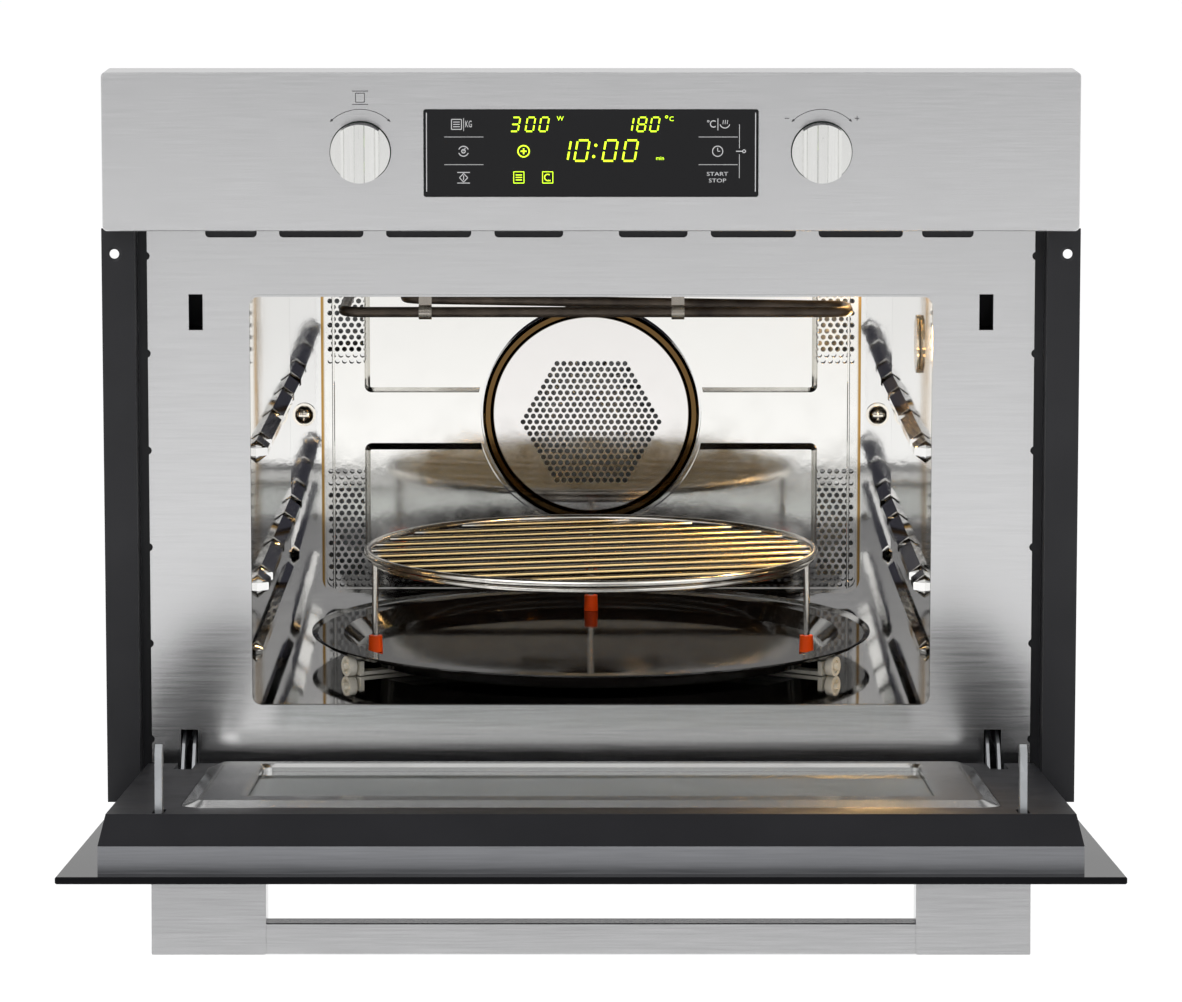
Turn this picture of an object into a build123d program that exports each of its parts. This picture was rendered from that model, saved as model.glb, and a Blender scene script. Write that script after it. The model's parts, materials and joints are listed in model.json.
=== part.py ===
from build123d import *
import math
import os

# Built-in compact combination oven (microwave, grill and convection) with a drop-down door.
# Millimetres. +X is to the right, +Y to the back and +Z up.  The origin is on the underside of
# the base plate, in the middle of its footprint.  The door is modelled closed and then laid open.

# ---- driving dimensions ----
WIDTH = 595.0                   # overall width of the flanges and of the door glass
HEIGHT = 455.0                  # niche floor to the top of the fascia
BASE_DEPTH = 520.0              # depth of the base plate
FLANGE = -(BASE_DEPTH / 2 + 24)  # Y of the flange's front face
SHEET = 1.2                     # casing sheet
REAR = BASE_DEPTH / 2           # Y of the casing's back

FASCIA_HALF = 295.0             # control panel
FASCIA_BOTTOM = 359.0
FASCIA_FRONT = FLANGE - 20
KNOB_X = 139.0
KNOB_Z = 407.0
KNOB_R = 18.0

CAVITY_HALF = 209.2             # inside of the cavity
CAVITY_REAR_HALF = 206.4
CAVITY_FLOOR = 61.5
CAVITY_TOP = 315.0
FACE_FRONT = FLANGE + 20.5      # stainless plate around the mouth
FACE_HALF = 271.5
FACE_BOTTOM = 22.0
CAVITY_FRONT = FACE_FRONT + 3.4  # walls start behind the chassis plate
CAVITY_DEPTH = 404.0
CAVITY_REAR = CAVITY_FRONT + CAVITY_DEPTH
WALL = 1.0

DOOR_OPEN = 84.6                # degrees between closed and open
PIVOT_Y = FLANGE - 2
PIVOT_Z = 11.5
GLASS_BOTTOM = 7.5
GLASS_TOP = 354.5
GLASS_BACK = FLANGE - 16
GLASS = 4.0
LINER_TOP = 338.5
LINER_FLAT_TOP = 318.5
LINER_BACK = FLANGE + 15.5
PLATE_HALF = 233.0              # stainless plate inside the door
PLATE_Z = (28.0, 283.0)
WINDOW_HALF = 199.0
WINDOW_Z = (53.0, 248.0)
HINGE_X = 248.3
PIN_R = 2.5
HOOK_X = 243.2                  # latch hooks
LATCH_SLOT_X = 242.0
HOOK_Z = 304.0

TABLE_Y = FLANGE + 214.0        # turntable axis
TABLE_R = 181.5
TABLE_TOP = 75.6
BASIN_R = 158.0
BASIN_FLOOR = 64.8
ROLLER_R = 6.3
ROLLER_TRACK = 177.5
ROLLER_WIDTH = 5.0
AXLE_R = 2.0
LUG_R = 171.5
ARM_THICK = 2.2
RACK_Z = 129.2
RACK_R = 145.0
RACK_TURN = 13.4                # degrees the rack's bars are turned from the X axis

FAN_Z = 192.5                   # convection fan axis
FAN_COVER_R = 74.1


def box(x, y, z):
    """A box between the two ends given along each axis."""
    return Pos(sum(x) / 2, sum(y) / 2, sum(z) / 2) * Box(x[1] - x[0], y[1] - y[0], z[1] - z[0])


def rod(axis, radius, start, length):
    """A cylinder from start, along +X, +Y or +Z."""
    turn = {"x": Rot(0, 90, 0), "y": Rot(-90, 0, 0), "z": Rot(0, 0, 0)}[axis]
    return Pos(*start) * turn * Cylinder(radius, length, align=(Align.CENTER, Align.CENTER, Align.MIN))


def ring(axis, outer, inner, start, length):
    return rod(axis, outer, start, length) - rod(axis, inner, start, length)


def plate_xz(width, low, high, front, thick, corner=0.0, x=0.0):
    """A plate that faces the front, with rounded corners."""
    outline = RectangleRounded(width, high - low, corner) if corner else Rectangle(width, high - low)
    return Pos(x, front, (low + high) / 2) * Rot(90, 0, 0) * extrude(outline, -thick)


def mirrored(shape):
    return mirror(shape, about=Plane.YZ)


def pair(shape):
    return [shape, mirrored(shape)]


def profile_x(points, x0, x1):
    """A prism along X whose section is a polygon of (y, z) points."""
    face = Face(Wire.make_polygon([Vector(x0, y, z) for y, z in points], close=True))
    return extrude(face, x1 - x0, dir=(1, 0, 0))


def opened(shape):
    """Turns a door piece from closed to open about the hinge pins."""
    return Pos(0, PIVOT_Y, PIVOT_Z) * Rot(DOOR_OPEN, 0, 0) * Pos(0, -PIVOT_Y, -PIVOT_Z) * shape


def save(name, shape):
    """Writes one sub-part: a solid, or a list of separate solids."""
    solids = []
    for item in shape if isinstance(shape, list) else [shape]:
        solids += item.solids()
    export_step(Compound(solids) if len(solids) > 1 else solids[0], f"parts/{name}.step")


def perforated(outer, centres, radius, normal, thick):
    """A flat sheet with many round holes, made from one face so that it needs no cutting."""
    holes = [Wire.make_circle(radius, Plane(origin=c, z_dir=normal)) for c in centres]
    return extrude(Face(outer, holes), thick, dir=normal)


# ---- control panel ----
FASCIA_SHEET = 1.5
DISPLAY_HALF = 100.7
DISPLAY_Z = (380.0, 432.4)
SHAFT_R = 3.0                   # knob shafts


def fascia():
    depth = 38.0
    shell = box((-FASCIA_HALF, FASCIA_HALF), (FASCIA_FRONT, FASCIA_FRONT + depth), (FASCIA_BOTTOM, HEIGHT))
    shell = fillet(shell.edges().filter_by(Axis.Y), 3.0)
    shell = chamfer(shell.faces().sort_by(Axis.Y)[0].edges(), 0.5)
    hollow = box(
        (-FASCIA_HALF + FASCIA_SHEET, FASCIA_HALF - FASCIA_SHEET),
        (FASCIA_FRONT + FASCIA_SHEET, FASCIA_FRONT + depth + 1),
        (FASCIA_BOTTOM + FASCIA_SHEET, HEIGHT - FASCIA_SHEET),
    )
    shell -= hollow
    for x in (-KNOB_X, KNOB_X):
        shell -= rod("y", KNOB_R + 0.6, (x, FASCIA_FRONT - 1, KNOB_Z), 5)
    low, high = DISPLAY_Z
    return shell - plate_xz(2 * DISPLAY_HALF + 0.6, low - 0.3, high + 0.3, FASCIA_FRONT - 1, 5, 1.5)


def display_parts():
    lens = plate_xz(2 * DISPLAY_HALF, *DISPLAY_Z, FASCIA_FRONT - 0.8, 3.6, 1.5)
    lens = chamfer(lens.faces().sort_by(Axis.Y)[0].edges(), 0.4)
    save("display_window", lens)
    board = box((-175, 175), (FASCIA_FRONT + 26, FASCIA_FRONT + 27.6), (366, 448))
    board += box((-88, 88), (FASCIA_FRONT + 3.2, FASCIA_FRONT + 9), (384, 428))
    for x in (-60, 60):
        board += box((x - 4, x + 4), (FASCIA_FRONT + 9, FASCIA_FRONT + 26), (402, 410))
    for x in (-KNOB_X, KNOB_X):
        board += box((x - 7, x + 7), (FASCIA_FRONT + 19, FASCIA_FRONT + 26), (KNOB_Z - 7, KNOB_Z + 7))
        board -= rod("y", SHAFT_R + 0.06, (x, FASCIA_FRONT + 18, KNOB_Z), 10)
    save("control_board", board)


def knob(x):
    """A round knob with a raised grip across it; the grip has a flat crest and two sloping flanks."""
    base = rod("y", KNOB_R, (x, FASCIA_FRONT - 4, KNOB_Z), 9)
    front = FASCIA_FRONT - 19
    half = [(2.8, 0), (3.2, 0.5), (9.0, 2.4), (9.6, 1.8), (11.4, 3.5), (11.4, 17)]
    section = [(-w, depth) for w, depth in reversed(half)] + half
    grip = Pos(x, front, KNOB_Z - 20) * extrude(make_face(Polyline(*section, close=True)), 40)
    body = base + (grip & rod("y", KNOB_R - 0.4, (x, front - 1, KNOB_Z), 30))
    body -= box((x - 0.4, x + 0.4), (front - 1, front + 0.8), (KNOB_Z + 9.5, KNOB_Z + 15))
    return body + rod("y", SHAFT_R, (x, FASCIA_FRONT + 5, KNOB_Z), 24)


# ---- flanges, face plate and chassis ----
FLANGE_SHEET = 1.5
FLANGE_INNER = 277.4
SCREW_X = 289.7
SCREW_Z = 343.2
SCREW_R = 2.9


def flange():
    """Left and right black trims; each is one folded sheet with a cabinet screw hole."""
    height = (4.4, FASCIA_BOTTOM - 0.2)
    body = box((FLANGE_INNER, WIDTH / 2), (FLANGE, FLANGE + FLANGE_SHEET), height)
    body += box((FLANGE_INNER, FLANGE_INNER + FLANGE_SHEET), (FLANGE, FLANGE + 23.4), height)
    dimple = Pos(SCREW_X, FLANGE + 0.35, SCREW_Z) * Rot(90, 0, 0) * Cone(SCREW_R, 4.9, 0.9)
    body -= dimple
    return body - rod("y", SCREW_R, (SCREW_X, FLANGE - 1, SCREW_Z), 4)


def mouth(front, thick, grow=0.0):
    return plate_xz(
        2 * (CAVITY_HALF + grow), CAVITY_FLOOR - grow, CAVITY_TOP + grow, front, thick, 6.0 + grow
    )


VENT_BOTTOM = 351.4
VENTS = [                       # middle and width of the air vents under the fascia
    (-220, 31.5), (-164.8, 51.5), (-99.2, 52), (-38, 42), (38, 42), (99.2, 52), (164.8, 51.5), (218, 31.5),
]


def front_cuts(front, thick, grow=0.0):
    """Latch slots and hinge slots."""
    y = (front, front + thick)
    latch = box((LATCH_SLOT_X - 4.3 - grow, LATCH_SLOT_X + 4.3 + grow), y, (294.4 - grow, 316.5 + grow))
    hinge = box((HINGE_X - 5.3 - grow, HINGE_X + 5.3 + grow), y, (FACE_BOTTOM - 1, 46.0 + grow))
    return [*pair(latch), *pair(hinge)]


def face_plate():
    body = box((-FACE_HALF, FACE_HALF), (FACE_FRONT, FACE_FRONT + SHEET), (FACE_BOTTOM, 362.0))
    body -= mouth(FACE_FRONT - 1, 4)
    for cut in front_cuts(FACE_FRONT - 1, 4):
        body -= cut
    for x, width in VENTS:
        body -= plate_xz(width, VENT_BOTTOM, 375.0, FACE_FRONT - 1, 4, 2.5, x)
    notches = [
        rod("y", 2.6, (side * (FACE_HALF + 0.9), FACE_FRONT - 1, z), 4)
        for side in (-1, 1) for z in range(40, 350, 60)
    ]
    for notch in notches:
        body -= notch
    lip = mouth(FACE_FRONT - 0.5, 0.5, 1.2) - mouth(FACE_FRONT - 1, 3)
    return body + lip


def chassis_plate():
    """Black structural plate behind the face plate."""
    front = FACE_FRONT + SHEET + 0.2
    body = box((-277.2, 277.2), (front, front + 1.5), (SHEET + 0.3, 440.0))
    body -= mouth(front - 1, 4, 0.6)
    for cut in front_cuts(front - 1, 4, 0.6):
        body -= cut
    for x in (-KNOB_X, KNOB_X):
        body -= rod("y", 12, (x, front - 1, KNOB_Z), 4)
    return body


# ---- cavity ----
RAIL_Z = (127.0, 212.0)         # shelf rails in the side walls
RAIL_BUMPS = ((48, 81), (89, 200), (208, 319), (327, 398))


def rail(z):
    """One shelf rail pressed into a side wall: a row of long six-sided bumps with low links."""
    bumps = []
    for low, high in RAIL_BUMPS:
        outline = RectangleRounded(15, high - low, 5)
        bumps.append(Pos(0, (low + high) / 2, z) * Rot(0, 90, 0) * extrude(outline, 7.0, taper=38))
    for low, high in RAIL_BUMPS[:-1]:
        link = extrude(RectangleRounded(9, 14, 3), 3.0, taper=30)
        bumps.append(Pos(0, high + 4, z) * Rot(0, 90, 0) * link)
    return bumps


def side_wall():
    """Left wall, leaning in slightly to the back, with two shelf rails and a rib near the floor."""
    wall = box((-WALL, 0), (0, CAVITY_DEPTH - 0.4), (CAVITY_FLOOR, CAVITY_TOP))
    for z in RAIL_Z:
        for bump in rail(z):
            wall += bump
    rib = extrude(RectangleRounded(14, 340, 6), 4.0, taper=45)
    wall += Pos(0, CAVITY_DEPTH / 2, 88) * Rot(0, 90, 0) * rib
    lean = math.degrees(math.atan((CAVITY_HALF - CAVITY_REAR_HALF) / CAVITY_DEPTH))
    return Pos(-CAVITY_HALF, CAVITY_FRONT, 0) * Rot(0, 0, -lean) * wall


GUIDE_X = 105.0                 # middle of the waveguide mouth in the ceiling
GUIDE_Y = CAVITY_FRONT + 225
LAMP_Y = CAVITY_FRONT + 120
LAMP_Z = 272.0


def cavity():
    left = side_wall()
    right = mirrored(left)
    lamp_hole = rod("x", 19, (CAVITY_HALF - 8, LAMP_Y, LAMP_Z), 20)
    save("cavity_left_wall", left)
    save("cavity_right_wall", right - lamp_hole)
    span = (-CAVITY_HALF - 1.2, CAVITY_HALF + 1.2)
    depth = (CAVITY_FRONT, CAVITY_REAR)
    floor = box(span, depth, (CAVITY_FLOOR - WALL, CAVITY_FLOOR)) - rod(
        "z", 16, (0, TABLE_Y, CAVITY_FLOOR - 5), 10)
    save("cavity_floor", floor)
    ceiling = box(span, depth, (CAVITY_TOP, CAVITY_TOP + WALL))
    guide = box((GUIDE_X - 40, GUIDE_X + 40), (GUIDE_Y - 24, GUIDE_Y + 24), (CAVITY_TOP - 1, CAVITY_TOP + 2))
    save("cavity_ceiling", ceiling - guide)


# ---- rear wall, its perforated panel and the fan cover ----
PANEL_HALF = 184.8
PANEL_Z = (68.0, 312.0)
PANEL_FRONT = CAVITY_REAR - 4.2
HOLE_PITCH = 4.93
HEX_PITCH = 4.65
HOLE_R = 1.72
FIELD_RISE = 4.0                # pressed fields of the rear panel
FIELD_HALF = 155.2
FIELD_X = 151.6                 # innermost column of holes
RIM_WIDTH = 7.4


def hex_holes(half_rows, y):
    """Centres of a six-sided field of holes, half_rows + 1 holes along each side."""
    centres = []
    for row in range(-half_rows, half_rows + 1):
        count = 2 * half_rows + 1 - abs(row)
        for i in range(count):
            x = (i - (count - 1) / 2) * HEX_PITCH
            centres.append((x, y, FAN_Z - 5.5 + row * HEX_PITCH * math.sqrt(3) / 2))
    return centres


def hole_field(y, columns, rows, x_start, z_start, z_step):
    """Centres of a staggered field of holes on both sides, filled outwards and away from z_start."""
    centres = []
    for row in range(rows):
        for i in range(columns):
            x = x_start + (i + row % 2 / 2) * HOLE_PITCH
            for side in (-1, 1):
                centres.append((side * x, y, z_start + row * z_step))
    return centres


def rear_panel():
    """Pressed panel: perforated corners, a field raised above the fan and one below it."""
    low, high = PANEL_Z
    outline = Pos(0, PANEL_FRONT, (low + high) / 2) * Rot(90, 0, 0) * RectangleRounded(
        2 * PANEL_HALF, high - low, 10)
    centre = Plane(origin=(0, PANEL_FRONT, FAN_Z), z_dir=(0, 1, 0))
    disc = Wire.make_circle(FAN_COVER_R + 1.5, centre)
    step = HOLE_PITCH * 0.84
    centres = hole_field(PANEL_FRONT, 6, 20, FIELD_X, 307.0, -step)
    centres += hole_field(PANEL_FRONT, 6, 20, FIELD_X, 73.5, step)
    centres += hole_field(PANEL_FRONT, 8, 3, FIELD_X - 8 * HOLE_PITCH, 73.5, step)
    holes = [Wire.make_circle(HOLE_R, Plane(origin=c, z_dir=(0, 1, 0))) for c in centres]
    sheet = extrude(Face(outline.faces()[0].outer_wire(), [disc, *holes]), 1.0, dir=(0, 1, 0))
    clear = rod("y", FAN_COVER_R + 4.0, (0, PANEL_FRONT - 10, FAN_Z), 20)
    for bottom, top in ((206.8, 309.0), (90.0, 171.8)):
        field = Pos(0, PANEL_FRONT, (bottom + top) / 2) * Rot(90, 0, 0) * extrude(
            RectangleRounded(2 * FIELD_HALF, top - bottom, 5), FIELD_RISE, taper=45)
        sheet += field - clear
    for x in ELEMENT_ENDS:
        sheet -= rod("y", ELEMENT_R + 0.6, (x, PANEL_FRONT - 10, ELEMENT_Z), 20)
    rim = RectangleRounded(2 * PANEL_HALF, high - low, 10) - RectangleRounded(
        2 * PANEL_HALF - 6, high - low - 6, 7)
    sheet += Pos(0, PANEL_FRONT, (low + high) / 2) * Rot(90, 0, 0) * extrude(rim, 3.0)
    for x in (-176.5, 176.5):
        bead = box((x - 0.9, x + 0.9), (PANEL_FRONT - 1.0, PANEL_FRONT + 0.4), (low + 2, high - 2))
        sheet += chamfer(bead.faces().sort_by(Axis.Y)[0].edges().filter_by(Axis.Z), 0.5)
    return sheet


def fan_cover():
    y = PANEL_FRONT - 5.0
    disc = Wire.make_circle(FAN_COVER_R - 4.0, Plane(origin=(0, y, FAN_Z), z_dir=(0, 1, 0)))
    sheet = perforated(disc, hex_holes(10, y), HOLE_R, (0, 1, 0), 1.0)
    rim = ring("y", FAN_COVER_R, FAN_COVER_R - RIM_WIDTH, (0, y - 2.6, FAN_Z), 8.8)
    rim = chamfer(rim.faces().sort_by(Axis.Y)[0].edges(), 2.2)
    return sheet + rim


def rear_wall():
    wall = box((-CAVITY_REAR_HALF, CAVITY_REAR_HALF), (CAVITY_REAR, CAVITY_REAR + WALL),
               (CAVITY_FLOOR - WALL, CAVITY_TOP + WALL))
    wall -= rod("y", 68, (0, CAVITY_REAR - 1, FAN_Z), 4)
    for x in (-168, 168):
        wall -= box((x - 12, x + 12), (CAVITY_REAR - 1, CAVITY_REAR + 3), (80, 140))
        wall -= box((x - 12, x + 12), (CAVITY_REAR - 1, CAVITY_REAR + 3), (235, 300))
    for x in ELEMENT_ENDS:
        wall -= rod("y", 3.6, (x, CAVITY_REAR - 1, ELEMENT_Z), 4)
    return wall


def rear_stud(x):
    """Domed chrome stud with a slotted centre."""
    z = 191.0
    washer = rod("y", 8.0, (x, CAVITY_REAR - 2.0, z), 2.0)
    dome = Pos(x, CAVITY_REAR - 2.0, z) * Sphere(6.4) & rod("y", 6.6, (x, CAVITY_REAR - 8.7, z), 6.7)
    return washer + dome - box((x - 5, x + 5), (CAVITY_REAR - 9, CAVITY_REAR - 7.4), (z - 0.6, z + 0.6))


ELEMENT_R = 3.25
ELEMENT_Z = 300.0
ELEMENT_ENDS = (-60.0, 30.0)    # X of the element's two tails


def tube_path(points, radius, bend):
    """A round tube along straight runs joined by bends of one radius."""
    line = FilletPolyline(*points, radius=bend)
    start = line.edges()[0]
    return sweep(Plane(origin=start @ 0, z_dir=start % 0) * Circle(radius), path=line)


def grill_element():
    """Heating element under the ceiling: a long rod in front, hairpins at both ends, tails to the rear."""
    f = CAVITY_FRONT
    left, right = ELEMENT_ENDS
    line = [(left, CAVITY_REAR + 14), (left, f + 290), (-154, f + 240), (-154, f + 48), (160, f + 48),
            (160, f + 84), (-118, f + 128), (-118, f + 230), (right, f + 290), (right, CAVITY_REAR + 14)]
    return tube_path([(x, y, ELEMENT_Z) for x, y in line], ELEMENT_R, 12.0)


def grill_brackets():
    made = []
    for x in (-103, 54):
        y = CAVITY_FRONT + 48
        clip = ring("x", ELEMENT_R + 1.3, ELEMENT_R + 0.05, (x - 4, y, ELEMENT_Z), 8)
        strap = box((x - 4, x + 4), (y - 0.7, y + 0.7), (ELEMENT_Z + ELEMENT_R + 0.3, CAVITY_TOP - 0.1))
        made.append(clip + strap)
    return made


# ---- turntable, rollers and rack ----
TABLE_SHEET = 1.5


def turntable_plate():
    """Dark metal dish: the lip runs on the rollers and the basin hangs inside it."""
    under = TABLE_TOP - 1.2
    over = TABLE_TOP + 0.3
    section = [
        (0, BASIN_FLOOR), (BASIN_R - 5, BASIN_FLOOR), (BASIN_R + 4, under), (TABLE_R - 3, under),
        (TABLE_R, TABLE_TOP + 1.0), (TABLE_R, TABLE_TOP + 2.0), (TABLE_R - 4, over), (BASIN_R + 3, over),
        (BASIN_R - 6, BASIN_FLOOR + TABLE_SHEET), (0, BASIN_FLOOR + TABLE_SHEET),
    ]
    face = Face(Wire.make_polygon([Vector(r, 0, z) for r, z in section], close=True))
    return Pos(0, TABLE_Y, 0) * revolve(face, Axis.Z)


def drive_hub():
    hub = rod("z", 12, (0, TABLE_Y, 59.0), BASIN_FLOOR - 59.0)
    shaft = rod("z", 4, (0, TABLE_Y, 38.0), 21.0)
    return hub + shaft


ROLLER_ANGLES = (90, 210, 330)


def polar(radius, angle, z):
    a = math.radians(angle)
    return Pos(math.cos(a) * radius, TABLE_Y + math.sin(a) * radius, z)


def roller(angle):
    """Wheel on a radial axle."""
    wheel = Cylinder(ROLLER_R, ROLLER_WIDTH) - Cylinder(AXLE_R + 0.06, ROLLER_WIDTH + 1)
    wheel -= Pos(0, 0, ROLLER_WIDTH / 2) * Cylinder(4.2, 3)
    return polar(ROLLER_TRACK, angle, CAVITY_FLOOR + ROLLER_R) * Rot(0, 0, angle) * Rot(0, 90, 0) * wheel


def roller_support():
    """Flat spider around the drive hub; each of its three arms ends in an upright lug with an axle."""
    body = ring("z", 27, 15, (0, TABLE_Y, CAVITY_FLOOR + 0.5), ARM_THICK)
    for angle in ROLLER_ANGLES:
        middle = (LUG_R + 26) / 2
        arm = polar(middle, angle, CAVITY_FLOOR + 0.5 + ARM_THICK / 2) * Rot(0, 0, angle) * Box(
            LUG_R - 26 + 3, 10, ARM_THICK)
        lug = polar(LUG_R, angle, CAVITY_FLOOR + 5.0) * Rot(0, 0, angle) * Box(3.0, 12, 9.0)
        axle = polar(LUG_R, angle, CAVITY_FLOOR + ROLLER_R) * Rot(0, 0, angle) * Rot(0, 90, 0) * Cylinder(
            AXLE_R, ROLLER_TRACK - LUG_R + 4.5, align=(Align.CENTER, Align.CENTER, Align.MIN))
        body += arm + lug + axle
    return body


RACK_BARS = 12
RACK_PITCH = 24.0
LEG_WIRE = 2.1
LEG_ANGLES = (90, 190, 350)
LEG_R = 141.6
LEG_TOP = RACK_Z - 4.4
FOOT_Z = BASIN_FLOOR + 1.7


def wire_rack():
    """Ring, parallel bars, two bent leg wires under the ring and three legs, welded together."""
    body = Pos(0, TABLE_Y, RACK_Z) * Torus(RACK_R, 2.5)
    for i in range(RACK_BARS):
        offset = (i - (RACK_BARS - 1) / 2) * RACK_PITCH
        half = math.sqrt(RACK_R ** 2 - offset ** 2) - 0.6
        bar = Pos(0, offset, RACK_Z - 1.2) * Rot(0, 90, 0) * Cylinder(1.6, 2 * half)
        body += Pos(0, TABLE_Y, 0) * Rot(0, 0, RACK_TURN) * bar
    wire = Pos(LEG_R, 0, 0) * Rot(90, 0, 0) * Circle(LEG_WIRE)
    for start, sweep_angle in ((190, 160), (70, 40)):
        bent = Pos(0, TABLE_Y, LEG_TOP) * Rot(0, 0, start) * revolve(wire, Axis.Z, sweep_angle)
        body += bent
    length = LEG_TOP - FOOT_Z - 4
    for angle in LEG_ANGLES:
        body += polar(LEG_R, angle, LEG_TOP - length / 2) * Cylinder(LEG_WIRE, length)
        body += polar(LEG_R, angle, LEG_TOP) * Sphere(LEG_WIRE)
    return body


def rack_feet():
    feet = []
    for angle in LEG_ANGLES:
        a = math.radians(angle)
        x, y = LEG_R * math.cos(a), TABLE_Y + LEG_R * math.sin(a)
        cap = Pos(x, y, FOOT_Z) * Cone(4.7, 4.3, 10.5, align=(Align.CENTER, Align.CENTER, Align.MIN))
        feet.append(cap - rod("z", 2.1, (x, y, FOOT_Z + 4), 20))
    return feet


# ---- behind the cavity ----
def fan_wheel():
    hub = rod("y", 9, (0, CAVITY_REAR + 5, FAN_Z), 14)
    back = rod("y", 56, (0, CAVITY_REAR + 18, FAN_Z), 1.0)
    blades = []
    for i in range(16):
        a = 360 / 16 * i
        blade = Rot(0, a, 0) * Pos(0, 0, 40) * Rot(0, 25, 0) * Box(1.0, 13, 30)
        blades.append(Pos(0, CAVITY_REAR + 11.6, FAN_Z) * blade)
    wheel = hub + back
    for blade in blades:
        wheel += blade
    shaft = rod("y", 3.0, (0, CAVITY_REAR + 19, FAN_Z), 34)
    return wheel + shaft


def fan_housing():
    """Box behind the rear wall that holds the ring heater and the fan."""
    y0 = CAVITY_REAR + WALL
    outer = plate_xz(380, 72, 308, y0, 28, 20)
    inner = plate_xz(378, 73, 307, y0 - 1, 28, 19)
    return outer - inner - rod("y", 3.4, (0, y0 + 10, FAN_Z), 40)


def ring_heater():
    y = CAVITY_REAR + 12
    return Pos(0, y, FAN_Z) * Rot(90, 0, 0) * Torus(74, 3.2)


def fan_motor():
    y0 = CAVITY_REAR + 30.2
    body = rod("y", 26, (0, y0, FAN_Z), 20) - rod("y", 3.2, (0, y0 - 1, FAN_Z), 60)
    feet = box((-40, 40), (y0, y0 + 1.5), (FAN_Z - 6, FAN_Z + 6)) - rod("y", 5, (0, y0 - 1, FAN_Z), 5)
    return body + feet


CASING_TOP = 416.0
CASING_HALF = 277.0
VENT_Z = 388.0
CORD = (215.0, 375.0)           # X and Z of the cord hole


def casing():
    outer = CASING_HALF + SHEET
    side = box((CASING_HALF, outer), (FLANGE + 24, REAR), (0, CASING_TOP))
    for i in range(9):
        slot = Rot(0, 0, 90) * plate_xz(26, 0, 4, 0, 6, 1.9)
        side -= Pos(CASING_HALF + 3, FLANGE + 120 + 34 * i, VENT_Z) * slot
    save("casing_right", side)
    save("casing_left", mirrored(side))
    top = box((-outer, outer), (FLANGE + 24, REAR), (CASING_TOP, CASING_TOP + SHEET))
    for i in range(6):
        for y in (60, 76):
            top -= box((-180 + 62 * i, -140 + 62 * i), (y, y + 4), (CASING_TOP - 1, CASING_TOP + 3))
    save("casing_top", top)
    rear = box((0.2 - CASING_HALF, CASING_HALF - 0.2), (REAR - SHEET, REAR), (SHEET + 0.2, CASING_TOP - 0.2))
    for i in range(10):
        for z in (330, 342, 354, 366):
            rear -= plate_xz(24, z, z + 4.4, REAR - 3, 6, 2.1, -220 + 30 * i)
    save("casing_rear", rear - rod("y", 9, (CORD[0], REAR - 3, CORD[1]), 6))
    base = box((0.2 - CASING_HALF, CASING_HALF - 0.2), (-BASE_DEPTH / 2, REAR), (0, SHEET))
    for x in (-180, 180):
        for y in range(-150, 160, 60):
            base -= Pos(x, y, 0) * Box(60, 8, 6)
    save("base_plate", base)


ABOVE = CAVITY_TOP + 10         # underside of the parts above the cavity
BLOWER_Y = CAVITY_FRONT + 70    # drum blower axis, along X
BLOWER_Z = ABOVE + 43
BLOWER_R = 40.0
BLOWER_X = (-150.0, 40.0)


def microwave_source():
    """Finned magnetron on the waveguide that leads to the ceiling hole."""
    source = box((70, 150), (GUIDE_Y - 35, GUIDE_Y + 37), (ABOVE + 18, ABOVE + 70))
    for i in range(5):
        low = ABOVE + 24 + 8 * i
        source += box((66, 154), (GUIDE_Y - 39, GUIDE_Y + 41), (low, low + 2))
    save("magnetron", source)
    duct = box((56, 164), (GUIDE_Y - 41, GUIDE_Y + 65), (CAVITY_TOP + 1.2, ABOVE + 17.8))
    save("waveguide", duct - box((58, 162), (GUIDE_Y - 39, GUIDE_Y + 63), (CAVITY_TOP, ABOVE + 15.8)))


def blower():
    """Drum blower: housing, rotor and motor on one axis along X."""
    y, z = BLOWER_Y, BLOWER_Z
    low, high = BLOWER_X
    shell = rod("x", BLOWER_R, (low, y, z), high - low)
    shell -= rod("x", BLOWER_R - 1.5, (low + 1.5, y, z), high - low - 3)
    shell -= box((low + 4, high - 4), (y - BLOWER_R - 20, y - 8), (z - 14, z + 14))
    shell -= rod("x", 24, (low - 2, y, z), 4) + rod("x", 3.4, (high - 10, y, z), 12)
    save("blower_housing", shell)
    rotor = rod("x", 30, (low + 4, y, z), 2) + rod("x", 30, (high - 7, y, z), 2)
    rotor += rod("x", 3, (low + 4, y, z), high - low + 6)
    for i in range(18):
        blade = Rot(20 * i, 0, 0) * Pos(0, 0, 25) * Rot(30, 0, 0) * Box(high - low - 9, 1, 8)
        rotor += Pos((low + high - 1) / 2, y, z) * blade
    save("blower_rotor", rotor)
    save("blower_motor", rod("x", 24, (high + 1, y, z), 40) - rod("x", 3.3, (high, y, z), 42))


def power_supply():
    coil = box((-120, -50), (CAVITY_FRONT + 250, CAVITY_FRONT + 330), (ABOVE + 6, ABOVE + 74))
    stack = box((-132, -38), (CAVITY_FRONT + 266, CAVITY_FRONT + 314), (ABOVE, ABOVE + 80))
    save("transformer", coil + stack)
    x, z = CORD
    block = box((x - 25, x + 25), (REAR - 34, REAR - 1.4), (z - 20, z + 20))
    save("terminal_block", block - rod("y", 5, (x, REAR - 20, z), 30))


def turntable_motor():
    body = rod("z", 25, (0, TABLE_Y, 12), 25) + box((-34, 34), (TABLE_Y - 8, TABLE_Y + 8), (36.6, 38.2))
    return body - rod("z", 4.4, (0, TABLE_Y, 11), 30)


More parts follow.
